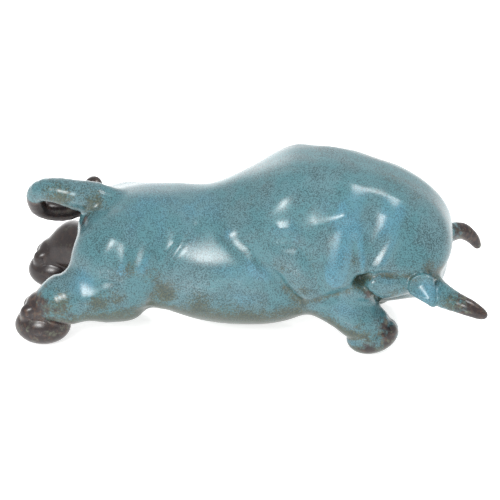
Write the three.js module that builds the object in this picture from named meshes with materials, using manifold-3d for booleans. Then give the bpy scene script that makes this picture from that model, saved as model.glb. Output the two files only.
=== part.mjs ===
// Glazed figurine of a charging ox, taken to be one hollow casting and modelled as a solid.
// Millimetres; the ox faces +X, its far side is +Y, and it stands on z = 0.
import * as THREE from 'three';
import { MarchingCubes } from 'three/addons/objects/MarchingCubes.js';
import { ConvexGeometry } from 'three/addons/geometries/ConvexGeometry.js';
import { LoftGeometry } from 'three/addons/geometries/LoftGeometry.js';
import { SimplifyModifier } from 'three/addons/modifiers/SimplifyModifier.js';
import { mergeVertices } from 'three/addons/utils/BufferGeometryUtils.js';
import Module from 'manifold-3d';

// Trunk, as sections along X: underside, back line, half width, how square the section
// is (2 is an oval) and how much wider it is below than above.
const TRUNK = [
  { x: -112, under: 44, back: 110, half: 36, square: 2.1, spread: 0 },
  { x: -90, under: 26, back: 113.5, half: 45, square: 2.4, spread: 0.05 },
  { x: -63, under: 17, back: 115.5, half: 48, square: 2.4, spread: 0.1 },
  { x: -32, under: 6.5, back: 118.5, half: 52, square: 2, spread: 0.16 },
  { x: 0, under: 6.5, back: 132.5, half: 53, square: 2.3, spread: 0.14 },
  { x: 31, under: 13, back: 145.5, half: 53, square: 3, spread: 0 },
  { x: 52, under: 22, back: 145.5, half: 52, square: 3, spread: 0 },
];
const RUMP_ROUNDING = 26;
const CHEST_ROUNDING = 60;

// Great mass of the neck and shoulders: a drum lying across, wider below than above.
const NECK = { at: [80, 0, 93.5], radii: [81.5, 55, 48.5], pitch: -11, square: 3.6, spread: 0.32 };
const NECK_BLEND = 14;

// Hind legs, stretched back. The far one trails a little and stands wider; its thigh and
// the top of its hock only share part of the trail.
const NEAR_HIND = { side: -1, trail: 0, out: 46 };
const FAR_HIND = { side: 1, trail: -8, out: 55 };
const THIGH = { at: [-101, 33, 59], radii: [39, 25, 45], pitch: -8, trailing: 0.2 };
const HOCK = { from: [-118, 41], to: [-143, 38.5], radii: [25, 19.5], inward: 0.76, trailing: 0.6 };
const SHANK = { from: [-143, 37], to: [-161, 29.5], radii: [19.5, 14] };
const HIND_HOOF = { x: -161.5, z: 14.6, radii: [22.3, 17.5, 15.6] };
const DEWCLAW = { x: -171, z: 28.5, apart: 7.5, radii: [6.5, 6, 8], pitch: -30 };
const THIGH_BLEND = 14;
const HOCK_BLEND = 8;
const SHANK_BLEND = 6;
const DEWCLAW_BLEND = 2;

// Forelegs, short and braced forward.
const SHOULDER = { at: [54, 34, 76], radii: [32, 22, 42], pitch: -12 };
const FOREARM = { from: [60, 38, 48], to: [90, 43, 28.5], radii: [19, 17] };
const PASTERN = { from: [88, 43, 29], to: [99, 42, 23], radii: [16.5, 15] };
const FORE_HOOF = { at: [100, 42, 14], radii: [21, 16.5, 14.5], pitch: 20 };
const FORE_BLEND = 12;
const FOREARM_BLEND = 8;
const PASTERN_BLEND = 4;

// How softly a hoof runs into the leg above it: hardly, so the coronet shows as a crease.
const CORONET_BLEND = 1.5;

// Head, tucked back between the forelegs with the poll under the neck.
const SKULL = { from: [128, 0, 56], to: [92, 0, 45], radii: [25, 21.5], flat: 1.3 };
const POLL = { at: [135, 0, 64], radii: [22, 38, 24] };
const HEAD_BLEND = 6;
const POLL_BLEND = 10;

// Tail and horn: centre line with its radius at each point. The head is rolled a little,
// and the far horn is arched higher than the near one.
const TAIL = [
  [-108, -2, 98, 14.5], [-124, -5, 107, 13], [-138, -8, 111, 11.5],
  [-151, -8, 114, 10], [-163, -6, 113.5, 8.6], [-170.5, -1, 107.5, 7.4],
  [-172, 4, 99, 7], [-170, 10, 91, 7.4], [-161, 15, 86.5, 8],
  [-150, 19, 85.5, 8.2], [-140, 22, 89.5, 8], [-133, 24, 96, 7.4],
  [-130, 25, 102, 7.2], [-128.5, 25, 106, 7],
];
const HORN = [
  [134, 22, 54, 13.5], [147, 44, 53, 10.5], [157, 57, 52.6, 8.4], [168, 65.5, 51.3, 6.8],
  [174, 68, 49.8, 6], [180, 70, 47.5, 4.8], [184, 70.6, 45.8, 3.4],
];
const HEAD_ROLL = 0.045;
const FAR_HORN_ARCH = 9;

// Ear: a flat pointed leaf from its root to its tip, hollowed by a smaller one lying on its
// palm. Ends are (distance from the root, height above the leaf's middle, radius).
const EAR = { root: [137, 56, 64], tip: [145.5, 61, 53.5], palm: [-0.25, 0.86, 0.42], flat: 0.62 };
const EAR_LEAF = { root: [0, 0, 11], tip: [0, 0, 4] };
const EAR_CUP = { root: [0, 6.4, 9.2], tip: [-2, 5, 2.4] };

// Folds of the skin on both flanks: (x, z) lines seen from the side, their height at the
// start and at the end, and how wide they are. Positive heights stand up.
const FOLDS = {
  flankCrease: {
    line: [[-41, 99], [-48, 92], [-57, 80], [-66, 62], [-75, 36]], high: [-1.2, -2], wide: 3.6,
  },
  flankNotch: { line: [[-66, 58], [-74, 40], [-79, 28]], high: [-0.5, -4.5], wide: 8 },
  flankRidge: { line: [[-55, 88], [-61, 79], [-67, 68]], high: [1.2, 0.5], wide: 3 },
  ribSwell: { line: [[-60, 70], [-30, 70], [0, 68]], high: [0.5, 2.6], wide: 14 },
  shoulderCrease: {
    line: [[-6, 94], [2, 90], [18, 74], [26, 66], [31, 57], [41, 46]], high: [-1.2, -4], wide: 5,
  },
  ribCrest: { line: [[-13, 97], [2, 87], [15, 71], [24, 58]], high: [2.2, 1.2], wide: 7 },
  bladeRidge: { line: [[0, 108], [15, 121], [27, 131], [36, 138]], high: [1.6, 1.8], wide: 12 },
  armCrease: { line: [[23, 96], [43, 95], [51, 83], [59, 63]], high: [-1.2, -2.5], wide: 6 },
  armRidge: { line: [[58, 113], [67, 117], [76, 121]], high: [1, 2.6], wide: 6.5 },
  bladeKnob: { line: [[27, 108], [34, 109]], high: [1.2, 1.2], wide: 4 },
  bladeKnobLow: { line: [[26, 100], [32, 101]], high: [0.9, 0.9], wide: 4 },
  neckFoldRear: { line: [[82, 122], [79, 108], [75, 93], [70, 74]], high: [3.2, 5], wide: 10.5 },
  neckCreaseRear: { line: [[84, 103], [86, 89], [88, 68]], high: [-0.8, -2.2], wide: 3.4 },
  neckFoldMiddle: { line: [[87, 107], [89, 92], [91, 77]], high: [1.6, 2.8], wide: 3.6 },
  neckFoldFront: {
    line: [[111, 117], [109, 109], [104, 96], [97, 81]], high: [3.6, 1.6], wide: 10,
  },
  neckCreaseFront: { line: [[108, 101], [100, 87], [91, 68]], high: [-1, -2.4], wide: 5 },
  throatFold: { line: [[117, 103], [110, 89], [99, 74]], high: [1.4, 1.6], wide: 6 },
  withersRidge: {
    line: [[83, 135], [95, 134], [108, 131], [120, 126], [131, 118]], high: [1.6, 1.2], wide: 11,
  },
  jawCrease: {
    line: [[88, 67], [95, 72], [103, 74], [118, 72], [133, 69]], high: [-6, -2], wide: 4,
  },
  jawGap: { line: [[89, 67], [97, 57], [105, 47]], high: [-3.5, -5], wide: 2.8 },
  armpitCrease: { line: [[88, 64], [67, 54], [49, 46], [41, 36]], high: [-3, -2], wide: 5 },
  thighRear: { line: [[-103, 93], [-113, 71]], high: [1.6, 1.6], wide: 8 },
  thighMiddle: { line: [[-92, 87], [-95, 70]], high: [1.2, 3], wide: 6 },
  thighFront: { line: [[-74, 87], [-80, 70]], high: [1.4, 3.2], wide: 6.5 },
  thighBase: { line: [[-118, 45], [-103, 52], [-90, 59]], high: [1.8, 1.6], wide: 7 },
  thighHollow: { line: [[-107, 62], [-94, 59], [-80, 62]], high: [-1.2, -1.5], wide: 5 },
  hockCrease: { line: [[-147, 55], [-142, 44], [-136, 31]], high: [-1, -1], wide: 4 },
};
const FOLDS_START = 22;
const FOLDS_FULL = 34;

// Clefts between the two toes of each hoof: upright slits, tilted along the hoof.
const CLEFT = { long: 15, wide: 2.4, deep: 12 };
const HIND_CLEFT = { x: -178, z: 25, tilt: -42 };
const FORE_CLEFT = { x: 114.5, y: 42, z: 24, tilt: 52 };

// Block below the ground that cuts the soles flat.
const GROUND = { long: 500, wide: 300, deep: 40 };

// Lattice that the skin of the body is drawn on, and how the skin is evened out and thinned.
const CELL = 4.5;
const LATTICE = 88;
const MIDDLE = [-2, 0, 72];
const MOST_TRIANGLES = 60000;
const BODY_CORNERS = 3400;
const FAIRING_ROUNDS = 3;
const FAIRING_SHARE = 0.6;
const LAST_FAIRING_SHARE = 0.2;
const WELD = 0.001;
const LATTICE_WELD = 0.01;
const PROBE = 0.4;
const TINY = 1e-6;
const FLATTEST = 1e-4;
const SPREAD_REACH = 1.3;

// Sides and steps of the swept pieces.
const TUBE_SIDES = 12;
const HORN_RINGS = 10;
const TAIL_RINGS = 24;
const TIP_RINGS = 3;
const TIP_OPEN = 0.4;
const EAR_SIDES = 16;
const EAR_RINGS = 10;

const glaze = new THREE.MeshStandardMaterial({ color: 0x4f8088, roughness: 0.12, metalness: 0 });
const wasm = await Module();
wasm.setup();

// Distance from a point to an egg with the given radii, negative inside.
function egg(x, y, z, at, radii, pitch = 0) {
  const turn = THREE.MathUtils.degToRad(pitch);
  const dx = x - at[0];
  const dz = z - at[2];
  const u = Math.cos(turn) * dx + Math.sin(turn) * dz;
  const v = y - at[1];
  const w = Math.cos(turn) * dz - Math.sin(turn) * dx;
  const near = Math.hypot(u / radii[0], v / radii[1], w / radii[2]);
  const slope = Math.hypot(u / radii[0] ** 2, v / radii[1] ** 2, w / radii[2] ** 2);
  return near * (near - 1) / Math.max(slope, TINY);
}

// Distance to a drum: its outline seen from the side is an oval, its sides are flatter
// than an egg's, and it grows wider from top to bottom.
function drum(x, y, z, { at, radii, pitch, square, spread }) {
  const turn = THREE.MathUtils.degToRad(pitch);
  const dx = x - at[0];
  const dz = z - at[2];
  const u = (Math.cos(turn) * dx + Math.sin(turn) * dz) / radii[0];
  const w = (Math.cos(turn) * dz - Math.sin(turn) * dx) / radii[2];
  const widened = 1 - spread * THREE.MathUtils.clamp(w, -SPREAD_REACH, SPREAD_REACH);
  const side = Math.abs(y - at[1]) / (radii[1] * widened) + TINY;
  const round = Math.hypot(u, w) + TINY;
  const near = (round ** square + side ** square) ** (1 / square);
  const alike = near ** (1 - square);
  const slope = Math.hypot(
    alike * round ** (square - 2) * u / radii[0],
    alike * side ** (square - 1) / (radii[1] * widened),
    alike * (round ** (square - 2) * w + side ** square * spread / widened) / radii[2],
  );
  return (near - 1) / Math.max(slope, FLATTEST);
}

// Distance to a tapered rod; flat above 1 widens it sideways.
function limb(x, y, z, from, to, radii, flat = 1) {
  const ax = to[0] - from[0];
  const ay = (to[1] - from[1]) / flat;
  const az = to[2] - from[2];
  const px = x - from[0];
  const py = (y - from[1]) / flat;
  const pz = z - from[2];
  const along = (px * ax + py * ay + pz * az) / (ax * ax + ay * ay + az * az);
  const t = THREE.MathUtils.clamp(along, 0, 1);
  const gap = Math.hypot(px - t * ax, py - t * ay, pz - t * az);
  return gap - THREE.MathUtils.lerp(radii[0], radii[1], t);
}

// Joins two distances with a fillet about as wide as the given reach.
function blend(a, b, reach) {
  const h = Math.max(reach - Math.abs(a - b), 0) / reach;
  return Math.min(a, b) - h * h * reach / 4;
}

// Slope of one trunk measure at a section, from the sections on either side.
function slopeAt(sections, key, i) {
  const here = sections[i];
  const last = sections[Math.max(i - 1, 0)];
  const next = sections[Math.min(i + 1, sections.length - 1)];
  const before = here.x - last.x;
  const after = next.x - here.x;
  if (before === 0) return (next[key] - here[key]) / after;
  if (after === 0) return (here[key] - last[key]) / before;
  const rise = (next[key] - here[key]) / after;
  const fall = (here[key] - last[key]) / before;
  return (rise * before + fall * after) / (before + after);
}

// Smooth value of one trunk measure at x.
function trunkMeasure(key, x) {
  const count = TRUNK.length;
  let i = 0;
  while (i < count - 2 && x > TRUNK[i + 1].x) i += 1;
  const a = TRUNK[i];
  const b = TRUNK[i + 1];
  const span = b.x - a.x;
  const t = (x - a.x) / span;
  const s = 1 - t;
  const ends = (1 + 2 * t) * s * s * a[key] + t * t * (3 - 2 * t) * b[key];
  const bend = t * s * s * slopeAt(TRUNK, key, i) - t * t * s * slopeAt(TRUNK, key, i + 1);
  return ends + span * bend;
}

function trunk(x, y, z) {
  const first = TRUNK[0].x;
  const last = TRUNK[TRUNK.length - 1].x;
  const at = THREE.MathUtils.clamp(x, first, last);
  const under = trunkMeasure('under', at);
  const back = trunkMeasure('back', at);
  const square = trunkMeasure('square', at);
  const spread = trunkMeasure('spread', at);
  const tall = (back - under) / 2;
  const up = (z - (back + under) / 2) / tall;
  const widened = 1 - spread * THREE.MathUtils.clamp(up, -SPREAD_REACH, SPREAD_REACH);
  const half = trunkMeasure('half', at) * widened;
  const rounding = x > 0 ? CHEST_ROUNDING : RUMP_ROUNDING;
  const over = Math.abs(x - at) / rounding;
  const side = Math.abs(y) / half + TINY;
  const rise = Math.abs(up) + TINY;
  const section = (side ** square + rise ** square) ** (1 / square);
  const near = Math.hypot(over, section);
  const alike = section ** (2 - square);
  const slope = Math.hypot(
    over / rounding,
    alike * side ** (square - 1) / half,
    alike * (rise ** (square - 1) * Math.sign(up) + side ** square * spread / widened) / tall,
  );
  return near * (near - 1) / Math.max(slope, TINY);
}

function hindLeg(x, y, z, { side, trail, out }) {
  const spread = side * out;
  const thighAt = [THIGH.at[0] + trail * THIGH.trailing, side * THIGH.at[1], THIGH.at[2]];
  const hockFrom = [HOCK.from[0] + trail * HOCK.trailing, spread * HOCK.inward, HOCK.from[1]];
  const hockTo = [HOCK.to[0] + trail, spread, HOCK.to[1]];
  const shankFrom = [SHANK.from[0] + trail, spread, SHANK.from[1]];
  const shankTo = [SHANK.to[0] + trail, spread, SHANK.to[1]];
  let d = egg(x, y, z, thighAt, THIGH.radii, THIGH.pitch);
  d = blend(d, limb(x, y, z, hockFrom, hockTo, HOCK.radii), HOCK_BLEND);
  d = blend(d, limb(x, y, z, shankFrom, shankTo, SHANK.radii), SHANK_BLEND);
  const hoofAt = [HIND_HOOF.x + trail, spread, HIND_HOOF.z];
  d = blend(d, egg(x, y, z, hoofAt, HIND_HOOF.radii), CORONET_BLEND);
  for (const toe of [-1, 1]) {
    const at = [DEWCLAW.x + trail, spread + toe * DEWCLAW.apart, DEWCLAW.z];
    d = blend(d, egg(x, y, z, at, DEWCLAW.radii, DEWCLAW.pitch), DEWCLAW_BLEND);
  }
  return d;
}

function foreleg(x, y, z, side) {
  const at = (place) => [place[0], side * place[1], place[2]];
  let d = egg(x, y, z, at(SHOULDER.at), SHOULDER.radii, SHOULDER.pitch);
  d = blend(d, limb(x, y, z, at(FOREARM.from), at(FOREARM.to), FOREARM.radii), FOREARM_BLEND);
  d = blend(d, limb(x, y, z, at(PASTERN.from), at(PASTERN.to), PASTERN.radii), PASTERN_BLEND);
  const hoof = egg(x, y, z, at(FORE_HOOF.at), FORE_HOOF.radii, FORE_HOOF.pitch);
  return blend(d, hoof, CORONET_BLEND);
}

function head(x, y, z) {
  const skull = limb(x, y, z, SKULL.from, SKULL.to, SKULL.radii, SKULL.flat);
  return blend(skull, egg(x, y, z, POLL.at, POLL.radii), POLL_BLEND);
}

// Height of the folds at a point; they fade out towards the middle of the animal.
function folds(x, y, z) {
  const fade = (Math.abs(y) - FOLDS_START) / (FOLDS_FULL - FOLDS_START);
  if (fade <= 0) return 0;
  let height = 0;
  for (const { line, high, wide } of Object.values(FOLDS)) {
    let gap = Infinity;
    let along = 0;
    for (let i = 1; i < line.length; i += 1) {
      const [ax, az] = line[i - 1];
      const ux = line[i][0] - ax;
      const uz = line[i][1] - az;
      const share = ((x - ax) * ux + (z - az) * uz) / (ux * ux + uz * uz);
      const t = THREE.MathUtils.clamp(share, 0, 1);
      const here = Math.hypot(x - ax - t * ux, z - az - t * uz);
      if (here < gap) {
        gap = here;
        along = (i - 1 + t) / (line.length - 1);
      }
    }
    height += THREE.MathUtils.lerp(high[0], high[1], along) * Math.exp(-((gap / wide) ** 2));
  }
  return height * Math.min(fade, 1);
}

function body(x, y, z) {
  let d = blend(trunk(x, y, z), drum(x, y, z, NECK), NECK_BLEND);
  d = blend(d, hindLeg(x, y, z, NEAR_HIND), THIGH_BLEND);
  d = blend(d, hindLeg(x, y, z, FAR_HIND), THIGH_BLEND);
  d = blend(d, foreleg(x, y, z, -1), FORE_BLEND);
  d = blend(d, foreleg(x, y, z, 1), FORE_BLEND);
  return blend(d, head(x, y, z), HEAD_BLEND) - folds(x, y, z);
}

// Vector from a point to the skin of the body along the steepest way.
function toSkin(p) {
  const d = body(p.x, p.y, p.z);
  const slope = new THREE.Vector3(
    body(p.x + PROBE, p.y, p.z) - body(p.x - PROBE, p.y, p.z),
    body(p.x, p.y + PROBE, p.z) - body(p.x, p.y - PROBE, p.z),
    body(p.x, p.y, p.z + PROBE) - body(p.x, p.y, p.z - PROBE),
  ).divideScalar(2 * PROBE);
  return slope.multiplyScalar(-d / Math.max(slope.lengthSq(), FLATTEST));
}

// Evens out the triangles: each corner slides part of the way to the middle of its
// neighbours and is put back on the skin.
function fair(geometry, rounds, share) {
  const position = geometry.attributes.position;
  const index = geometry.index.array;
  const neighbours = Array.from({ length: position.count }, () => new Set());
  for (let i = 0; i < index.length; i += 3) {
    for (let k = 0; k < 3; k += 1) {
      const here = neighbours[index[i + k]];
      here.add(index[i + (k + 1) % 3]);
      here.add(index[i + (k + 2) % 3]);
    }
  }
  const points = neighbours.map((_, i) => new THREE.Vector3().fromBufferAttribute(position, i));
  for (let round = 0; round < rounds; round += 1) {
    const middles = neighbours.map((ring) => {
      const sum = new THREE.Vector3();
      for (const j of ring) sum.add(points[j]);
      return sum.divideScalar(ring.size);
    });
    points.forEach((p, i) => {
      p.lerp(middles[i], share);
      p.add(toSkin(p));
    });
  }
  points.forEach((p, i) => position.setXYZ(i, p.x, p.y, p.z));
}

// Skin of the body: drawn finely on the lattice, evened out, then thinned where it is flat.
async function bodyGeometry() {
  const lattice = new MarchingCubes(LATTICE, glaze, false, false, MOST_TRIANGLES);
  lattice.isolation = 0;
  const place = (i, axis) => (i - LATTICE / 2) * CELL + MIDDLE[axis];
  for (let k = 0; k < LATTICE; k += 1) {
    for (let j = 0; j < LATTICE; j += 1) {
      for (let i = 0; i < LATTICE; i += 1) {
        lattice.setCell(i, j, k, -body(place(i, 0), place(j, 1), place(k, 2)));
      }
    }
  }
  lattice.update();
  const corners = lattice.positionArray.slice(0, lattice.count * 3);
  const drawn = new THREE.BufferGeometry();
  drawn.setAttribute('position', new THREE.BufferAttribute(corners, 3));
  drawn.scale(CELL * LATTICE / 2, CELL * LATTICE / 2, CELL * LATTICE / 2);
  drawn.translate(...MIDDLE);
  const welded = mergeVertices(drawn, LATTICE_WELD);
  fair(welded, FAIRING_ROUNDS, FAIRING_SHARE);
  const spare = welded.attributes.position.count - BODY_CORNERS;
  const thinned = await new SimplifyModifier().modify(welded, spare);
  fair(thinned, 1, LAST_FAIRING_SHARE);
  return thinned;
}

// Tube along a smooth line through (x, y, z, radius) points, rounded over at its far end.
function sweep(line, rings) {
  const path = new THREE.CatmullRomCurve3(line.map(([x, y, z]) => new THREE.Vector3(x, y, z)));
  const girth = new THREE.CatmullRomCurve3(line.map((place) => new THREE.Vector3(place[3], 0, 0)));
  const normal = new THREE.Vector3(0, 0, 1);
  const sections = [];
  const addRing = (centre, tangent, radius) => {
    normal.addScaledVector(tangent, -normal.dot(tangent)).normalize();
    const across = new THREE.Vector3().crossVectors(tangent, normal);
    const ring = [];
    for (let k = 0; k < TUBE_SIDES; k += 1) {
      const turn = 2 * Math.PI * k / TUBE_SIDES;
      ring.push(centre.clone()
        .addScaledVector(normal, radius * Math.cos(turn))
        .addScaledVector(across, radius * Math.sin(turn)));
    }
    sections.push(ring);
  };
  for (let i = 0; i <= rings; i += 1) {
    addRing(path.getPoint(i / rings), path.getTangent(i / rings), girth.getPoint(i / rings).x);
  }
  const end = path.getPoint(1);
  const heading = path.getTangent(1);
  const radius = girth.getPoint(1).x;
  for (let i = 1; i <= TIP_RINGS; i += 1) {
    const turn = (Math.PI / 2) * (i / (TIP_RINGS + TIP_OPEN));
    const centre = end.clone().addScaledVector(heading, radius * Math.sin(turn));
    addRing(centre, heading, radius * Math.cos(turn));
  }
  return new LoftGeometry(sections, { closed: true, capStart: true, capEnd: true });
}

// Flat pointed leaf in the ear's own axes: along it, across it, and out of its palm.
function earLeaf(side, { root, tip }) {
  const mirrored = (v) => new THREE.Vector3(v[0], side * v[1], v[2]);
  const start = mirrored(EAR.root);
  const along = mirrored(EAR.tip).sub(start);
  const reach = along.length();
  along.normalize();
  const palm = mirrored(EAR.palm);
  palm.addScaledVector(along, -palm.dot(along)).normalize();
  const across = new THREE.Vector3().crossVectors(palm, along);
  const placed = new THREE.Matrix4().makeBasis(along, across, palm).setPosition(start);
  const corners = [];
  for (const [[shift, high, radius], far] of [[root, 0], [tip, reach]]) {
    const end = new THREE.SphereGeometry(radius, EAR_SIDES, EAR_RINGS);
    end.scale(1, 1, EAR.flat);
    end.translate(far + shift, 0, high);
    const { position } = end.applyMatrix4(placed).attributes;
    for (let i = 0; i < position.count; i += 1) {
      corners.push(new THREE.Vector3().fromBufferAttribute(position, i));
    }
  }
  return new ConvexGeometry(corners);
}

// Slit between the toes, a thin upright blade reaching into the hoof.
function cleftBlade(x, y, z, tilt) {
  const blade = new THREE.BoxGeometry(CLEFT.long, CLEFT.wide, CLEFT.deep);
  blade.rotateY(THREE.MathUtils.degToRad(tilt));
  return blade.translate(x, y, z);
}

function toSolid(geometry) {
  const bare = new THREE.BufferGeometry().copy(geometry);
  bare.deleteAttribute('normal');
  bare.deleteAttribute('uv');
  const welded = mergeVertices(bare, WELD);
  const corners = welded.index.array;
  const kept = [];
  for (let i = 0; i < corners.length; i += 3) {
    const [a, b, c] = corners.slice(i, i + 3);
    if (a !== b && b !== c && c !== a) kept.push(a, b, c);
  }
  return new wasm.Manifold(new wasm.Mesh({
    numProp: 3,
    vertProperties: new Float32Array(welded.attributes.position.array),
    triVerts: new Uint32Array(kept),
  }));
}

function toGeometry(solid) {
  const mesh = solid.getMesh();
  const geometry = new THREE.BufferGeometry();
  geometry.setAttribute('position', new THREE.BufferAttribute(mesh.vertProperties, 3));
  geometry.setIndex(new THREE.BufferAttribute(mesh.triVerts, 1));
  geometry.computeVertexNormals();
  return geometry;
}

let ox = toSolid(await bodyGeometry());
for (const side of [-1, 1]) {
  const arch = side > 0 ? FAR_HORN_ARCH : 0;
  const horn = HORN.map(([x, y, z, radius], i) => {
    const lift = arch * Math.sin(Math.PI * i / (HORN.length - 1)) - HEAD_ROLL * side * y;
    return [x, side * y, z + lift, radius];
  });
  ox = ox.add(toSolid(sweep(horn, HORN_RINGS)));
  const leaf = toSolid(earLeaf(side, EAR_LEAF));
  ox = ox.add(leaf.subtract(toSolid(earLeaf(side, EAR_CUP))));
}
ox = ox.add(toSolid(sweep(TAIL, TAIL_RINGS)));

const clefts = [
  cleftBlade(HIND_CLEFT.x + NEAR_HIND.trail, -NEAR_HIND.out, HIND_CLEFT.z, HIND_CLEFT.tilt),
  cleftBlade(HIND_CLEFT.x + FAR_HIND.trail, FAR_HIND.out, HIND_CLEFT.z, HIND_CLEFT.tilt),
  cleftBlade(FORE_CLEFT.x, -FORE_CLEFT.y, FORE_CLEFT.z, FORE_CLEFT.tilt),
  cleftBlade(FORE_CLEFT.x, FORE_CLEFT.y, FORE_CLEFT.z, FORE_CLEFT.tilt),
];
for (const cleft of clefts) ox = ox.subtract(toSolid(cleft));

// The hooves are cut flat where they stand on the ground.
const below = new THREE.BoxGeometry(GROUND.long, GROUND.wide, GROUND.deep)
  .translate(0, 0, -GROUND.deep / 2);
ox = ox.subtract(toSolid(below));

// The origin is on the ground, under the middle of the figurine.
const skin = toGeometry(ox);
skin.computeBoundingBox();
const middle = skin.boundingBox.getCenter(new THREE.Vector3());
skin.translate(-middle.x, -middle.y, 0);

const figurine = new THREE.Mesh(skin, glaze);
figurine.name = 'ox_figurine';

const group = new THREE.Group();
group.name = 'ox';
group.add(figurine);
export default group;
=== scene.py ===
"""Looks of the glazed charging ox: the clay form refined, its glaze, the camera and the light."""
import math
import bmesh
import bpy
import numpy as np
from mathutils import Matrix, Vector


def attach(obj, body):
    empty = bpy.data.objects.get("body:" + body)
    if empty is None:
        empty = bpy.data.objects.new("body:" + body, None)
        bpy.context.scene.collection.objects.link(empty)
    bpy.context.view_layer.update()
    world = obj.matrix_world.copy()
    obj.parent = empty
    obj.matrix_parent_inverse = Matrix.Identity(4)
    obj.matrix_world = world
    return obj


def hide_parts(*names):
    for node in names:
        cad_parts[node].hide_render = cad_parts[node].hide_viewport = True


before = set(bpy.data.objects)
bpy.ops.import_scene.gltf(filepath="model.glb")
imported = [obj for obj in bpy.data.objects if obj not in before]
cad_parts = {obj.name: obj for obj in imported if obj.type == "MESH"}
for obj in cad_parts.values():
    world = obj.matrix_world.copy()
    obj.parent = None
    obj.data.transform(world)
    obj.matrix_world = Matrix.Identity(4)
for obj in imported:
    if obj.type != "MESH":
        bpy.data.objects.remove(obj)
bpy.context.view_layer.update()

# The clay is described in millimetres, before the figurine was centred on its origin.
MM = 0.001
SHIFT = np.array((2.229, -0.694, 0.0), np.float32)
TINY = 1e-6
FLATTEST = 1e-4

# Trunk, as sections along X: x, underside, back line, half width, how square the section
# is (2 is an oval) and how much wider it is below than above.
TRUNK = (
    (-112, 44, 110, 36, 2.1, 0), (-90, 26, 113.5, 45, 2.4, 0.05), (-63, 17, 115.5, 48, 2.4, 0.1),
    (-32, 6.5, 118.5, 52, 2, 0.16), (0, 6.5, 132.5, 53, 2.3, 0.14),
    (31, 13, 145.5, 53, 3, 0), (52, 22, 145.5, 52, 3, 0),
)
RUMP_ROUNDING = 26
CHEST_ROUNDING = 60
SPREAD_REACH = 1.3
NECK = {"at": (80, 0, 93.5), "radii": (81.5, 55, 48.5), "pitch": -11, "square": 3.6, "spread": 0.32}
# Hind legs: side, how far back and how far out. The far one trails a little and stands wider.
NEAR_HIND = (-1, 0, 46)
FAR_HIND = (1, -8, 55)
THIGH = {"radii": (39, 25, 45), "pitch": -8}
THIGH_AT = (-101, 33, 59)
THIGH_TRAILING = 0.2
HOCK_FROM = (-118, 41)
HOCK_TO = (-143, 38.5)
HOCK_RADII = (25, 19.5)
HOCK_INWARD = 0.76
HOCK_TRAILING = 0.6
SHANK_FROM = (-143, 37)
SHANK_TO = (-161, 29.5)
SHANK_RADII = (19.5, 14)
HIND_HOOF_AT = (-161.5, 14.6)
HIND_HOOF_RADII = (22.3, 17.5, 15.6)
DEWCLAW_AT = (-171, 28.5)
DEWCLAW = {"radii": (6.5, 6, 8), "pitch": -30}
DEWCLAWS_APART = 7.5

# Forelegs, short and braced forward.
SHOULDER_AT = (54, 34, 76)
SHOULDER = {"radii": (32, 22, 42), "pitch": -12}
FOREARM = ((60, 38, 48), (90, 43, 28.5), 19, 17)
PASTERN = ((88, 43, 29), (99, 42, 23), 16.5, 15)
FORE_HOOF_AT = (100, 42, 14)
FORE_HOOF = {"radii": (21, 16.5, 14.5), "pitch": 20}

# Head, tucked back between the forelegs with the poll under the neck.
SKULL = ((128, 0, 56), (92, 0, 45), 25, 21.5, 1.3)
POLL = {"at": (135, 0, 64), "radii": (22, 38, 24)}

# How widely each form runs into the one before it.
NECK_BLEND = 14
THIGH_BLEND = 14
HOCK_BLEND = 8
SHANK_BLEND = 6
DEWCLAW_BLEND = 2
FORE_BLEND = 12
FOREARM_BLEND = 8
PASTERN_BLEND = 4
CORONET_BLEND = 1.5
HEAD_BLEND = 6
POLL_BLEND = 10
TAIL_BLEND = 5
HORN_BLEND = 6
EAR_BLEND = 2
TUBE_BLEND = 1.5
EDGE_BLEND = 1

# Tail and horn: centre line with its radius at each point. The head is rolled a little,
# and the far horn is arched higher than the near one.
TAIL = (
    (-108, -2, 98, 14.5), (-124, -5, 107, 13), (-138, -8, 111, 11.5), (-151, -8, 114, 10),
    (-163, -6, 113.5, 8.6), (-170.5, -1, 107.5, 7.4), (-172, 4, 99, 7), (-170, 10, 91, 7.4),
    (-161, 15, 86.5, 8), (-150, 19, 85.5, 8.2), (-140, 22, 89.5, 8), (-133, 24, 96, 7.4),
    (-130, 25, 102, 7.2), (-128.5, 25, 106, 7),
)
HORN = (
    (134, 22, 54, 13.5), (147, 44, 53, 10.5), (157, 57, 52.6, 8.4), (168, 65.5, 51.3, 6.8),
    (174, 68, 49.8, 6), (180, 70, 47.5, 4.8), (184, 70.6, 45.8, 3.4),
)
TAIL_STEPS = 28
HORN_STEPS = 14
HEAD_ROLL = 0.045
FAR_HORN_ARCH = 9

# Ear: a flat pointed leaf from its root to its tip, hollowed by a smaller one on its palm.
EAR_ROOT = (137, 56, 64)
EAR_TIP = (145.5, 61, 53.5)
EAR_PALM = (-0.25, 0.86, 0.42)
EAR_FLAT = 0.62
EAR_LEAF_RADII = (11, 4)
EAR_CUP_RADII = (9.2, 2.4)
EAR_CUP_HIGH = (6.4, 5)
EAR_CUP_SHORTER = 2

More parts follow.
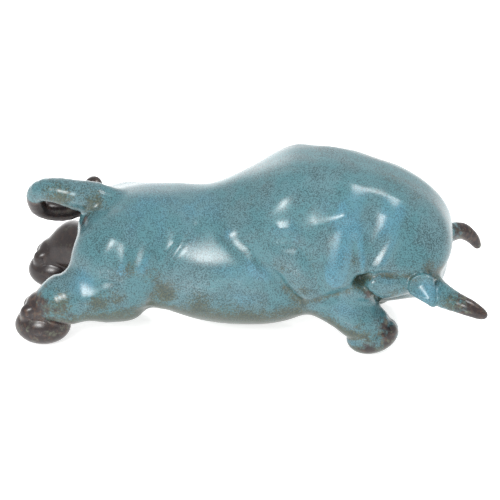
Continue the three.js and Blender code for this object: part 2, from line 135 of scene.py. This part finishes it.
# Folds of the skin on both flanks: (x, z) line seen from the side, height at its start and
# at its end, and how wide it is. Positive heights stand up.
FOLDS = {
    "flank_crease": (((-41, 99), (-48, 92), (-57, 80), (-66, 62), (-75, 36)), -1.2, -2, 3.6),
    "flank_notch": (((-66, 58), (-74, 40), (-79, 28)), -0.5, -4.5, 8),
    "flank_ridge": (((-55, 88), (-61, 79), (-67, 68)), 1.2, 0.5, 3),
    "rib_swell": (((-60, 70), (-30, 70), (0, 68)), 0.5, 2.6, 14),
    "shoulder_crease": (((-6, 94), (2, 90), (18, 74), (26, 66), (31, 57), (41, 46)), -1.2, -4, 5),
    "rib_crest": (((-13, 97), (2, 87), (15, 71), (24, 58)), 2.2, 1.2, 7),
    "blade_ridge": (((0, 108), (15, 121), (27, 131), (36, 138)), 1.6, 1.8, 12),
    "arm_crease": (((23, 96), (43, 95), (51, 83), (59, 63)), -1.2, -2.5, 6),
    "arm_ridge": (((58, 113), (67, 117), (76, 121)), 1, 2.6, 6.5),
    "blade_knob": (((27, 108), (34, 109)), 1.2, 1.2, 4),
    "blade_knob_low": (((26, 100), (32, 101)), 0.9, 0.9, 4),
    "neck_fold_rear": (((82, 122), (79, 108), (75, 93), (70, 74)), 3.2, 5, 10.5),
    "neck_crease_rear": (((84, 103), (86, 89), (88, 68)), -0.8, -2.2, 3.4),
    "neck_fold_middle": (((87, 107), (89, 92), (91, 77)), 1.6, 2.8, 3.6),
    "neck_fold_front": (((111, 117), (109, 109), (104, 96), (97, 81)), 3.6, 1.6, 10),
    "neck_crease_front": (((108, 101), (100, 87), (91, 68)), -1, -2.4, 5),
    "throat_fold": (((117, 103), (110, 89), (99, 74)), 1.4, 1.6, 6),
    "withers_ridge": (((83, 135), (95, 134), (108, 131), (120, 126), (131, 118)), 1.6, 1.2, 11),
    "jaw_crease": (((88, 67), (95, 72), (103, 74), (118, 72), (133, 69)), -6, -2, 4),
    "jaw_gap": (((89, 67), (97, 57), (105, 47)), -3.5, -5, 2.8),
    "armpit_crease": (((88, 64), (67, 54), (49, 46), (41, 36)), -3, -2, 5),
    "thigh_rear": (((-103, 93), (-113, 71)), 1.6, 1.6, 8),
    "thigh_middle": (((-92, 87), (-95, 70)), 1.2, 3, 6),
    "thigh_front": (((-74, 87), (-80, 70)), 1.4, 3.2, 6.5),
    "thigh_base": (((-118, 45), (-103, 52), (-90, 59)), 1.8, 1.6, 7),
    "thigh_hollow": (((-107, 62), (-94, 59), (-80, 62)), -1.2, -1.5, 5),
    "hock_crease": (((-147, 55), (-142, 44), (-136, 31)), -1, -1, 4),
}
FOLDS_START = 22
FOLDS_FULL = 34

# Clefts between the two toes of each hoof: blade size, then its place and tilt.
CLEFT = (15, 2.4, 12)
HIND_CLEFT = (-178, 25, -42)
FORE_CLEFT = (114.5, 42, 24, 52)

# Camera, in metres; the view is this wide at the figurine.
CAMERA_TURN = math.radians(4.5)
CAMERA_DOWN = math.radians(25)
CAMERA_AWAY = 1.5
CAMERA_TARGET_UP = 0.064
VIEW_WIDE = 0.4
SENSOR = 36

# Soft boxes: the way to each from the figurine, distance, width, height and power.
MIDDLE = Vector((0.0, 0.0, 0.07))
LIGHTS = (
    ("key", (-0.305, -0.837, 0.454), 1.5, 0.36, 0.3, 7.2),
    ("key_glow", (-0.305, -0.837, 0.454), 1.52, 0.85, 0.64, 6.0),
    ("above_neck", (0.53, 0.0, 0.85), 0.7, 0.24, 0.26, 1.9),
)
FLOOR_HALF = 4
FLOOR_COLOUR = (0.85, 0.85, 0.85, 1)
FLOOR_ROUGHNESS = 0.1
FLOOR_GLOW = 0.65

# Pale wall behind the figurine, as bright as the room at its edges and brighter inside.
WALL = {"place": (-1.25, 3.0, 2.0), "half_wide": 2.5, "half_tall": 2.0, "glow": 1.9}

# How finely the skin is remeshed, and how it is pressed to the clay.
VOXEL = 1.5
PRESSINGS = 5
PROBE = 0.3
LONGEST_STEP = 3
LEAST_SLOPE = 0.25

# How deep a recess is still darkened as painted shade, and where along the tail the brown begins.
RECESS_SHADE_REACH = 7.0
TAIL_BROWN = 12

# Spots as (x, y, z, radius, strength), the same on both sides. The sky spots are pooled glaze, with
# a painted sheen on the forelegs; the bare spots are thin glaze, with painted shade low on the
# belly; the brown spots are brown glaze.
POOLED_AND_SHEEN_SPOTS = (
    (-125, 57, 56, 13, 0.9), (-76, 26, 106, 34, 0.5), (-45, 20, 110, 34, 0.5),
    (-4, 52, 45, 14, 0.5), (0, 53, 65, 14, 0.5), (17, 54, 69, 10, 0.6), (31, 54, 109, 16, 0.5),
    (65, 49, 124, 16, 0.4),
    (88, 50, 109, 11, 0.5), (78, 58, 44, 16, 0.6), (108, 54, 68, 11, 0.5), (141, 58, 61, 11, 1),
    (-98, 55, 36, 10, 0.4), (84, 52, 9, 8, 0.6),
)
BARE_AND_SHADE_SPOTS = (
    (-89, 56, 70, 12, 0.6), (-72, 52, 62, 13, 0.6), (-99, 58, 46, 12, 0.7), (-113, 59, 42, 12, 0.9),
    (-75, 50, 45, 13, 0.6), (-60, 40, 32, 17, 0.7), (-24, 47, 22, 17, 0.7), (4, 48, 24, 17, 0.7),
    (0, 33, 120, 18, 0.3), (12, 24, 133, 18, 0.3), (117, 9, 132, 26, 0.35), (133, 7, 124, 20, 0.35),
    (81, 58, 84, 9, 0.6), (30, 58, 75, 9, 0.5), (35, 55, 61, 12, 0.5), (-136, 19, 115, 14, 0.5),
    (-126, 18, 107, 9, 0.6), (123, 53, 76, 10, 0.4), (142, 48, 79, 8, 0.6), (151, 40, 71, 10, 0.7),
    (116, 57, 57, 10, 0.6), (-143, 64, 40, 13, 1), (90, 61, 31, 7, 0.6), (43, 47, 40, 14, 0.5),
    (-155, 63, 36, 12, 0.9),
    (160, 68, 54, 12, 0.8), (98, 57, 18, 10, 0.7), (-20, 30, 8, 30, 0.8), (20, 34, 14, 26, 0.8),
    (-64, 48, 44, 15, 1), (-36, 49, 38, 16, 0.8), (-8, 50, 34, 16, 0.7), (42, 54, 58, 14, 0.6),
    (-150, 19, 111, 15, 1), (-121, 17, 111, 10, 0.8), (155, 17, 60, 10, 0.6),
)
BROWN_SPOTS = (
    (113, 52, 18, 12, 0.8), (109, 52, 27, 8, 0.6), (98, 57, 6, 10, 0.7), (123, 53, 50, 6, 0.4),
    (96, 56, 56, 5, 0.7), (102, 54, 48, 5, 0.8), (-128, 22, 93, 7, 0.6), (-143, 64, 34, 10, 0.45),
)

TURQUOISE = (0.06, 0.162, 0.185, 1)
GREY_BLUE = (0.083, 0.17, 0.193, 1)
SKY_BLUE = (0.07, 0.205, 0.272, 1)
OLIVE = (0.058, 0.057, 0.022, 1)
DARK_TEAL = (0.015, 0.04, 0.045, 1)
BLACK_BROWN = (0.02, 0.02, 0.015, 1)
PURPLE_BROWN = (0.015, 0.008, 0.008, 1)
RUST = (0.055, 0.03, 0.02, 1)
# Painted shade for the far hind leg, the far rump and the far turn of the tail.
FAR_SIDE_SHADE = (0.01, 0.005, 0.005, 1)
MOSS = (0.075, 0.08, 0.055, 1)


def point(*values):
    return np.array(values, np.float32)


def length(v):
    return np.sqrt(np.einsum("...i,...i->...", v, v))


def lean(pitch):
    """Axes of a form whose front end is lifted by pitch degrees."""
    cos, sin = math.cos(math.radians(pitch)), math.sin(math.radians(pitch))
    return np.array(((cos, 0, -sin), (0, 1, 0), (sin, 0, cos)), np.float32)


def egg(p, at, radii, pitch=0):
    q = p - point(*at)
    if pitch:
        q = q @ lean(pitch)
    r = point(*radii)
    near = length(q / r)
    return near * (near - 1) / np.maximum(length(q / r / r), TINY)


def limb(p, start, end, r_start, r_end, flat=1.0):
    squeeze = point(1, 1 / flat, 1)
    a = point(*start) * squeeze
    along = point(*end) * squeeze - a
    q = p * squeeze - a
    t = np.clip(q @ along / (along @ along), 0, 1)
    return length(q - t[..., None] * along) - (r_start + (r_end - r_start) * t)


def blend(a, b, reach):
    h = np.maximum(reach - np.abs(a - b), 0) / reach
    return np.minimum(a, b) - h * h * reach / 4


def smooth_value(x, xs, values):
    slopes = np.gradient(values, xs)
    i = np.clip(np.searchsorted(xs, x) - 1, 0, len(xs) - 2)
    span = xs[i + 1] - xs[i]
    t = (x - xs[i]) / span
    s = 1 - t
    ends = (1 + 2 * t) * s * s * values[i] + t * t * (3 - 2 * t) * values[i + 1]
    return ends + span * (t * s * s * slopes[i] - t * t * s * slopes[i + 1])


def drum(p, at, radii, pitch, square, spread):
    """Egg with flatter sides, wider below than above."""
    u, y, w = np.moveaxis((p - point(*at)) @ lean(pitch), -1, 0)
    u = u / radii[0]
    w = w / radii[2]
    widened = 1 - spread * np.clip(w, -SPREAD_REACH, SPREAD_REACH)
    half = radii[1] * widened
    side = np.abs(y) / half + TINY
    round_ = np.hypot(u, w) + TINY
    near = (round_ ** square + side ** square) ** (1 / square)
    alike = near ** (1 - square)
    climb = round_ ** (square - 2) * w + side ** square * spread / widened
    slope = np.sqrt(
        (alike * round_ ** (square - 2) * u / radii[0]) ** 2
        + (alike * side ** (square - 1) / half) ** 2
        + (alike * climb / radii[2]) ** 2)
    return (near - 1) / np.maximum(slope, FLATTEST)


def trunk(p):
    xs, *measures = (np.array(column, np.float32) for column in zip(*TRUNK))
    x = p[..., 0]
    at = np.clip(x, xs[0], xs[-1])
    under, back, half, square, spread = (smooth_value(at, xs, row) for row in measures)
    tall = (back - under) / 2
    up = (p[..., 2] - (back + under) / 2) / tall
    widened = 1 - spread * np.clip(up, -SPREAD_REACH, SPREAD_REACH)
    half = half * widened
    rounding = np.where(x > 0, CHEST_ROUNDING, RUMP_ROUNDING)
    over = np.abs(x - at) / rounding
    side = np.abs(p[..., 1]) / half + TINY
    climb = np.abs(up) + TINY
    section = (side ** square + climb ** square) ** (1 / square)
    near = np.hypot(over, section)
    alike = section ** (2 - square)
    upward = climb ** (square - 1) * np.sign(up) + side ** square * spread / widened
    slope = np.sqrt(
        (over / rounding) ** 2
        + (alike * side ** (square - 1) / half) ** 2
        + (alike * upward / tall) ** 2)
    return near * (near - 1) / np.maximum(slope, TINY)


def hind_leg(p, side, trail, out):
    def along(place, share=1.0, inward=1.0):
        return place[0] + trail * share, side * out * inward, place[1]

    x, y, z = THIGH_AT
    d = egg(p, (x + trail * THIGH_TRAILING, side * y, z), **THIGH)
    hock = limb(p, along(HOCK_FROM, HOCK_TRAILING, HOCK_INWARD), along(HOCK_TO), *HOCK_RADII)
    d = blend(d, hock, HOCK_BLEND)
    d = blend(d, limb(p, along(SHANK_FROM), along(SHANK_TO), *SHANK_RADII), SHANK_BLEND)
    d = blend(d, egg(p, along(HIND_HOOF_AT), HIND_HOOF_RADII), CORONET_BLEND)
    x, y, z = along(DEWCLAW_AT)
    for toe in (-1, 1):
        d = blend(d, egg(p, (x, y + toe * DEWCLAWS_APART, z), **DEWCLAW), DEWCLAW_BLEND)
    return d


def foreleg(p, side):
    def at(place):
        return place[0], side * place[1], place[2]

    d = egg(p, at(SHOULDER_AT), **SHOULDER)
    for (start, end, *radii), reach in ((FOREARM, FOREARM_BLEND), (PASTERN, PASTERN_BLEND)):
        d = blend(d, limb(p, at(start), at(end), *radii), reach)
    return blend(d, egg(p, at(FORE_HOOF_AT), **FORE_HOOF), CORONET_BLEND)


def head(p):
    return blend(limb(p, *SKULL), egg(p, **POLL), POLL_BLEND)


def line_gap(x, z, line):
    """Side view: distance to a line of (x, z) points, and how far along it, from 0 to 1."""
    gap = along = None
    for i, ((ax, az), (bx, bz)) in enumerate(zip(line, line[1:])):
        ux, uz = bx - ax, bz - az
        t = np.clip(((x - ax) * ux + (z - az) * uz) / (ux * ux + uz * uz), 0, 1)
        here = np.hypot(x - ax - t * ux, z - az - t * uz)
        share = (i + t) / (len(line) - 1)
        along = share if gap is None else np.where(here < gap, share, along)
        gap = here if gap is None else np.minimum(gap, here)
    return gap, along


def folds(p):
    """Height of the folds; they fade out towards the middle of the animal."""
    fade = np.clip((np.abs(p[..., 1]) - FOLDS_START) / (FOLDS_FULL - FOLDS_START), 0, 1)
    height = 0
    for line, first, last, wide in FOLDS.values():
        gap, along = line_gap(p[..., 0], p[..., 2], line)
        height = height + (first + (last - first) * along) * np.exp(-(gap / wide) ** 2)
    return height * fade


def chain(p, places):
    """Tube through (x, y, z, radius) places."""
    d = None
    for (*a, ra), (*b, rb) in zip(places, places[1:]):
        here = limb(p, a, b, ra, rb)
        d = here if d is None else blend(d, here, TUBE_BLEND)
    return d


def curve_places(line, steps):
    """The places of a tube, made finer along a smooth curve."""
    rows = np.array(line, np.float32)
    t = np.linspace(0, len(rows) - 1, steps)
    knots = np.arange(len(rows), dtype=np.float32)
    return np.stack([smooth_value(t, knots, rows[:, k]) for k in range(4)], -1)


def ear(p, side):
    """Pointed leaf with a hollow palm."""
    mirror = point(1, side, 1)
    root = point(*EAR_ROOT) * mirror
    along = point(*EAR_TIP) * mirror - root
    reach = length(along)
    along /= reach
    palm = point(*EAR_PALM) * mirror
    palm -= along * (palm @ along)
    palm /= length(palm)
    q = (p - root) @ np.stack((along, palm, np.cross(palm, along)), -1)
    leaf = limb(q, (0, 0, 0), (reach, 0, 0), *EAR_LEAF_RADII, EAR_FLAT)
    low, high = EAR_CUP_HIGH
    cup = limb(q, (0, low, 0), (reach - EAR_CUP_SHORTER, high, 0), *EAR_CUP_RADII, EAR_FLAT)
    return -blend(-leaf, cup, EDGE_BLEND)


def cleft(p, x, y, z, tilt):
    """Distance to the slit between two toes, a blade tilted along the hoof."""
    q = np.abs((p - point(x, y, z)) @ lean(-tilt)) - point(*CLEFT) / 2
    return length(np.maximum(q, 0)) + np.minimum(q.max(-1), 0)


def body(p):
    d = blend(trunk(p), drum(p, **NECK), NECK_BLEND)
    for hind in (NEAR_HIND, FAR_HIND):
        d = blend(d, hind_leg(p, *hind), THIGH_BLEND)
    for side in (-1, 1):
        d = blend(d, foreleg(p, side), FORE_BLEND)
    return blend(d, head(p), HEAD_BLEND) - folds(p)


def horn_places(side):
    """One horn's places; the head is rolled, and the far horn is arched higher."""
    places = curve_places(HORN, HORN_STEPS)
    places[:, 2] -= HEAD_ROLL * side * places[:, 1]
    if side > 0:
        places[:, 2] += FAR_HORN_ARCH * np.sin(np.linspace(0, math.pi, len(places)))
    places[:, 1] *= side
    return places


TAIL_PLACES = curve_places(TAIL, TAIL_STEPS)
HORN_PLACES = {side: horn_places(side) for side in (-1, 1)}


def clay(p):
    """Distance to the whole figurine's skin, negative inside."""
    d = blend(body(p), chain(p, TAIL_PLACES), TAIL_BLEND)
    for side in (-1, 1):
        d = blend(d, chain(p, HORN_PLACES[side]), HORN_BLEND)
        d = blend(d, ear(p, side), EAR_BLEND)
    x, z, tilt = HIND_CLEFT
    for side, trail, out in (NEAR_HIND, FAR_HIND):
        d = -blend(-d, cleft(p, x + trail, side * out, z, tilt), EDGE_BLEND)
    x, y, z, tilt = FORE_CLEFT
    for side in (-1, 1):
        d = -blend(-d, cleft(p, x, side * y, z, tilt), EDGE_BLEND)
    return np.maximum(d, -p[..., 2])


def press_to_clay(p, rounds):
    """Moves points to the skin, along the steepest way."""
    for _ in range(rounds):
        here = clay(p)
        slope = np.empty_like(p)
        for k in range(3):
            ahead = p.copy()
            ahead[:, k] += PROBE
            slope[:, k] = (clay(ahead) - here) / PROBE
        step = here / np.maximum((slope ** 2).sum(-1), LEAST_SLOPE)
        p = p - slope * np.clip(step, -LONGEST_STEP, LONGEST_STEP)[:, None]
    return p


def rise(value, low, high):
    """0 below low, 1 above high, smooth between; low may be the larger."""
    t = np.clip((value - low) / (high - low), 0, 1)
    return t * t * (3 - 2 * t)


def spots(p, places):
    """1 at the middle of each (x, y, z, radius, strength) spot and 0 away from it; both sides."""
    q = p.copy()
    q[:, 1] = np.abs(q[:, 1])
    value = np.zeros(len(p), np.float32)
    for *middle, radius, strength in places:
        near = length(q - point(*middle)) / radius
        value = np.maximum(value, strength * np.exp(-near ** 2))
    return value


def paint(mesh, p):
    """Writes where the glaze is thin, darkened further by painted shade in hollows, fold creases
    and undersides; where it pooled, with painted highlights on fold crests; and where it is brown,
    full only on the far side, where it paints shade.
    """
    normals = np.empty(len(mesh.vertices) * 3, np.float32)
    mesh.vertices.foreach_get("normal", normals)
    normals = normals.reshape(-1, 3)
    # Painted shade: recesses, found by probing outward from the skin, darken like thin glaze.
    hollow = np.clip(1 - clay(p + normals * RECESS_SHADE_REACH) / RECESS_SHADE_REACH, 0, 1)
    height = folds(p)
    x, y, z = p.T
    # Painted shade: low, downward-facing places darken.
    under = rise(z, 58, 22) * rise(normals[:, 2], 0.15, -0.45)
    thin_glaze_and_shade = np.maximum(under, spots(p, BARE_AND_SHADE_SPOTS))
    # Painted shade in the creases of the folds.
    thin_glaze_and_shade = np.maximum(thin_glaze_and_shade, rise(-height, 0.3, 3.4) * 0.75)
    thin_glaze_and_shade = np.clip(thin_glaze_and_shade + hollow * 0.5, 0, 1)
    # Painted highlight: fold crests turn paler blue, as do spots of pooled glaze and a painted
    # sheen on the forelegs.
    pooled_and_sheen = np.maximum(spots(p, POOLED_AND_SHEEN_SPOTS), rise(height, 0.8, 3) * 0.7)
    # The brown reaches full strength only on the far side (y > 0): the far hind leg, far rump and
    # the tail's far turn, where it paints shade.
    brown = rise(x, -136, -172) * rise(z, 66, 34) * np.where(y < 0, 0.9, 1)
    brown = np.maximum(brown, rise(x, -130, -142) * rise(z, 30, 22) * 0.9)
    brown = np.maximum(brown, rise(x, -96, -136) * rise(y, 8, 28) * rise(z, 92, 66))
    tail = chain(p, TAIL_PLACES[TAIL_BROWN:])
    brown = np.maximum(brown, rise(tail, 5, 0) * rise(x, -116, -128))
    brown = np.maximum(brown, rise(x, 148, 182) * 0.9)
    brown = np.maximum(brown, spots(p, BROWN_SPOTS))
    for name, values in (("thin_glaze_and_shade", thin_glaze_and_shade), ("pooled_and_sheen", pooled_and_sheen), ("brown", brown)):
        layer = mesh.attributes.new(name, "FLOAT", "POINT")
        layer.data.foreach_set("value", values.astype(np.float32))


def make_ox():
    """Fine skin of the figurine: the solid's form remeshed, then pressed to the clay."""
    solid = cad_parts["ox_figurine"]
    rough = bmesh.new()
    rough.from_mesh(solid.data)
    bmesh.ops.remove_doubles(rough, verts=rough.verts, dist=1e-6)
    mesh = bpy.data.meshes.new("ox_skin")
    rough.to_mesh(mesh)
    rough.free()
    ox = bpy.data.objects.new("ox", mesh)
    bpy.context.scene.collection.objects.link(ox)
    remesh = ox.modifiers.new("even", "REMESH")
    remesh.mode = "VOXEL"
    remesh.voxel_size = VOXEL * MM
    finer = bpy.data.meshes.new_from_object(ox.evaluated_get(bpy.context.evaluated_depsgraph_get()))
    ox.modifiers.clear()
    ox.data = finer
    bpy.data.meshes.remove(mesh)
    finer.name = "ox_skin"
    places = np.empty(len(finer.vertices) * 3, np.float32)
    finer.vertices.foreach_get("co", places)
    p = press_to_clay(places.reshape(-1, 3) / MM - SHIFT, PRESSINGS)
    finer.vertices.foreach_set("co", ((p + SHIFT) * MM).ravel())
    finer.update()
    for face in finer.polygons:
        face.use_smooth = True
    paint(finer, p)
    return ox


def add_camera():
    """Camera 1.5 m away, looking down 25 degrees on the animal's right side."""
    turn, down, away = CAMERA_TURN, CAMERA_DOWN, CAMERA_AWAY
    target = Vector((SHIFT[0] * MM, SHIFT[1] * MM, CAMERA_TARGET_UP))
    flat = Vector((-math.sin(turn), math.cos(turn), 0))
    look = flat * math.cos(down) + Vector((0, 0, -math.sin(down)))
    data = bpy.data.cameras.new("camera")
    data.sensor_width = SENSOR
    data.lens = SENSOR * away / VIEW_WIDE
    camera = bpy.data.objects.new("camera", data)
    camera.location = target - look * away
    camera.rotation_euler = look.to_track_quat("-Z", "Y").to_euler()
    bpy.context.scene.collection.objects.link(camera)
    bpy.context.scene.camera = camera


def add_light(name, place, target, wide, tall, power):
    data = bpy.data.lights.new(name, "AREA")
    data.shape = "RECTANGLE"
    data.size = wide
    data.size_y = tall
    data.energy = power
    light = bpy.data.objects.new(name, data)
    light.location = place
    way = Vector(target) - Vector(place)
    light.rotation_euler = way.to_track_quat("-Z", "Y").to_euler()
    bpy.context.scene.collection.objects.link(light)


def add_studio():
    bm = bmesh.new()
    bmesh.ops.create_grid(bm, x_segments=1, y_segments=1, size=FLOOR_HALF)
    mesh = bpy.data.meshes.new("floor")
    bm.to_mesh(mesh)
    bm.free()
    floor = bpy.data.objects.new("floor", mesh)
    bpy.context.scene.collection.objects.link(floor)
    table = bpy.data.materials.new("pale_table")
    table.use_nodes = True
    shader = table.node_tree.nodes["Principled BSDF"]
    shader.inputs["Base Color"].default_value = FLOOR_COLOUR
    shader.inputs["Roughness"].default_value = FLOOR_ROUGHNESS
    shader.inputs["Emission Color"].default_value = (1, 1, 1, 1)
    shader.inputs["Emission Strength"].default_value = FLOOR_GLOW
    mesh.materials.append(table)
    world = bpy.data.worlds.new("studio")
    world.use_nodes = True
    world.node_tree.nodes["Background"].inputs["Color"].default_value = (1, 1, 1, 1)
    world.node_tree.nodes["Background"].inputs["Strength"].default_value = 1.0
    bpy.context.scene.world = world
    add_wall()
    for name, way, away, wide, tall, power in LIGHTS:
        place = MIDDLE + Vector(way).normalized() * away
        add_light(name, place, MIDDLE, wide, tall, power)
    bpy.context.scene.view_settings.view_transform = "Standard"


class Wire:
    """A socket in a material; sums with it make the Math nodes they stand for."""

    def __init__(self, tree, socket):
        self.tree = tree
        self.socket = socket

    def node(self, kind, settings=None, sockets=None, out=0):
        return add_node(self.tree, kind, settings, sockets, out)

    def maths(self, operation, *values):
        sockets = dict(enumerate(values))
        return self.node("ShaderNodeMath", {"operation": operation}, sockets)

    def __add__(self, other):
        return self.maths("ADD", self, other)

    def __sub__(self, other):
        return self.maths("SUBTRACT", self, other)

    def __mul__(self, other):
        return self.maths("MULTIPLY", self, other)

    def __truediv__(self, other):
        return self.maths("DIVIDE", self, other)

    def __radd__(self, other):
        return self.maths("ADD", other, self)

    def __rsub__(self, other):
        return self.maths("SUBTRACT", other, self)

    def __rmul__(self, other):
        return self.maths("MULTIPLY", other, self)

    def __rtruediv__(self, other):
        return self.maths("DIVIDE", other, self)

    def step(self, low, high):
        """0 below low, 1 above high, and a smooth rise between them."""
        settings = {"interpolation_type": "SMOOTHSTEP"}
        sockets = {"Value": self, "From Min": low, "From Max": high}
        return self.node("ShaderNodeMapRange", settings, sockets)


def add_node(tree, kind, settings=None, sockets=None, out=0):
    """Adds a node: its settings first, then the values or links of its sockets."""
    node = tree.nodes.new(kind)
    for name, value in (settings or {}).items():
        setattr(node, name, value)
    for name, value in (sockets or {}).items():
        if isinstance(value, Wire):
            tree.links.new(value.socket, node.inputs[name])
        else:
            node.inputs[name].default_value = value
    return Wire(tree, node.outputs[out])


def clear_mix(factor, a, b):
    """Colour a, covered by colour b as far as factor says."""
    return factor.node("ShaderNodeMix", {"data_type": "RGBA"}, {0: factor, 6: a, 7: b}, 2)


def noise(where, size_mm, detail=2.0, rough=0.5, stretch=0.0):
    sockets = {"Vector": where, "Scale": 1000 / size_mm, "Detail": detail, "Roughness": rough}
    sockets["Distortion"] = stretch
    return where.node("ShaderNodeTexNoise", {}, sockets)


def specks(where, pitch_mm, radius_mm, share):
    """Round specks, one in some of the cells of a loose pattern."""
    sockets = {"Vector": where, "Scale": 1000 / pitch_mm}
    gap = where.node("ShaderNodeTexVoronoi", {}, sockets, 0)
    pick = where.node("ShaderNodeTexVoronoi", {}, sockets, 1)
    chance = pick.node("ShaderNodeSeparateColor", {}, {"Color": pick}, 0)
    edge = radius_mm / pitch_mm
    return (1 - gap.step(edge * 0.6, edge * 1.2)) * (1 - chance.step(share - 0.05, share + 0.05))


def painted(tree, name):
    return add_node(tree, "ShaderNodeAttribute", {"attribute_name": name}, {}, 2)


def add_wall():
    """Upright card behind the figurine that fades out to its edges and upwards."""
    bm = bmesh.new()
    bmesh.ops.create_grid(bm, x_segments=1, y_segments=1, size=1)
    mesh = bpy.data.meshes.new("wall")
    bm.to_mesh(mesh)
    bm.free()
    wall = bpy.data.objects.new("wall", mesh)
    wall.location = WALL["place"]
    wall.rotation_euler = (math.pi / 2, 0, 0)
    wall.scale = (WALL["half_wide"], WALL["half_tall"], 1)
    bpy.context.scene.collection.objects.link(wall)
    material = bpy.data.materials.new("wall_glow")
    material.use_nodes = True
    tree = material.node_tree
    shader = tree.nodes["Principled BSDF"]
    shader.inputs["Base Color"].default_value = (0, 0, 0, 1)
    shader.inputs["Roughness"].default_value = 1.0
    shader.inputs["Specular IOR Level"].default_value = 0.0
    where = add_node(tree, "ShaderNodeTexCoord", {}, {}, 3)
    across = where.node("ShaderNodeSeparateXYZ", {}, {0: where}, 0)
    up = where.node("ShaderNodeSeparateXYZ", {}, {0: where}, 1)
    inside = across.step(-0.8, 0) * (1 - across.step(0.05, 0.6)) * (1 - (up * 0.5 + 0.5).step(0, 1))
    glow = inside * WALL["glow"] + 1
    share = glow / (WALL["glow"] + 1)
    colour = clear_mix(share, (0, 0, 0, 1), (1, 1, 1, 1))
    tree.links.new(colour.socket, shader.inputs["Emission Color"])
    shader.inputs["Emission Strength"].default_value = WALL["glow"] + 1
    mesh.materials.append(material)


def glaze():
    """Glossy reactive glaze: blue-green with dark specks, olive and brown where it ran thin; the
    olive also paints shade in hollows, creases and undersides, the pale blue paints highlights on
    fold crests, and near black paints shade on the far side.
    """
    material = bpy.data.materials.new("glaze")
    material.use_nodes = True
    tree = material.node_tree
    shader = tree.nodes["Principled BSDF"]
    where = add_node(tree, "ShaderNodeTexCoord", {}, {}, 3)
    thin_glaze_and_shade, pooled_and_sheen, brown = (painted(tree, name) for name in ("thin_glaze_and_shade", "pooled_and_sheen", "brown"))

    clumps = noise(where, 15, 3.0)
    mottle = noise(where, 5, 5.0, 0.65)
    flecks = noise(where, 1.3, 2.0, 0.6)
    grain = noise(where, 0.9, 1.0)
    colour = clear_mix(noise(where, 30, 2.0).step(0.4, 0.6), TURQUOISE, GREY_BLUE)
    # Paler blue where the glaze pooled, and as painted highlight on fold crests and the forelegs.
    blue = (pooled_and_sheen * 0.9 + (clumps - 0.5) * 1.2).step(0.15, 0.9)
    colour = clear_mix(blue, colour, SKY_BLUE)

    # Olive where the glaze is thin, and as painted shade in hollows, creases and undersides.
    thin = thin_glaze_and_shade * 1.2 - 0.15 + (clumps - 0.5) * 1.2 + (mottle - 0.5) * 1.2
    colour = clear_mix(thin.step(0.25, 1.3) * 0.5, colour, OLIVE)
    colour = clear_mix((flecks + thin * 0.35).step(0.64, 0.84) * 0.75, colour, OLIVE)
    dark = (grain + (clumps - 0.5) * 0.3 + (mottle - 0.5) * 0.2).step(0.44, 0.62)
    colour = clear_mix(dark * (0.8 - pooled_and_sheen * 0.4), colour, DARK_TEAL)
    colour = clear_mix(specks(where, 4.5, 0.5, 0.3) * 0.8, colour, BLACK_BROWN)

    earth = clear_mix(noise(where, 4, 4.0, 0.6).step(0.48, 0.64), PURPLE_BROWN, RUST)
    earth = clear_mix((noise(where, 6, 4.0, 0.65) - brown * 0.1).step(0.45, 0.6), earth, MOSS)
    cover = (brown * 1.15 + (mottle - 0.5) * 1.6).step(0.25, 0.75)
    colour = clear_mix(cover, colour, earth)
    # Painted shade: near black on the far side, where the brown is full.
    colour = clear_mix(brown.step(0.92, 1) * 0.65, colour, FAR_SIDE_SHADE)

    tree.links.new(colour.socket, shader.inputs["Base Color"])
    gloss = 0.21 + mottle * 0.08
    tree.links.new(gloss.socket, shader.inputs["Roughness"])
    bump = add_node(tree, "ShaderNodeBump", {}, {
        "Strength": 0.2, "Distance": 0.0002, "Height": noise(where, 2.6, 2.0) + grain * 0.3})
    tree.links.new(bump.socket, shader.inputs["Normal"])
    return material


ox = make_ox()
ox.data.materials.clear()
ox.data.materials.append(glaze())
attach(ox, "root")
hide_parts("ox_figurine")
add_camera()
add_studio()
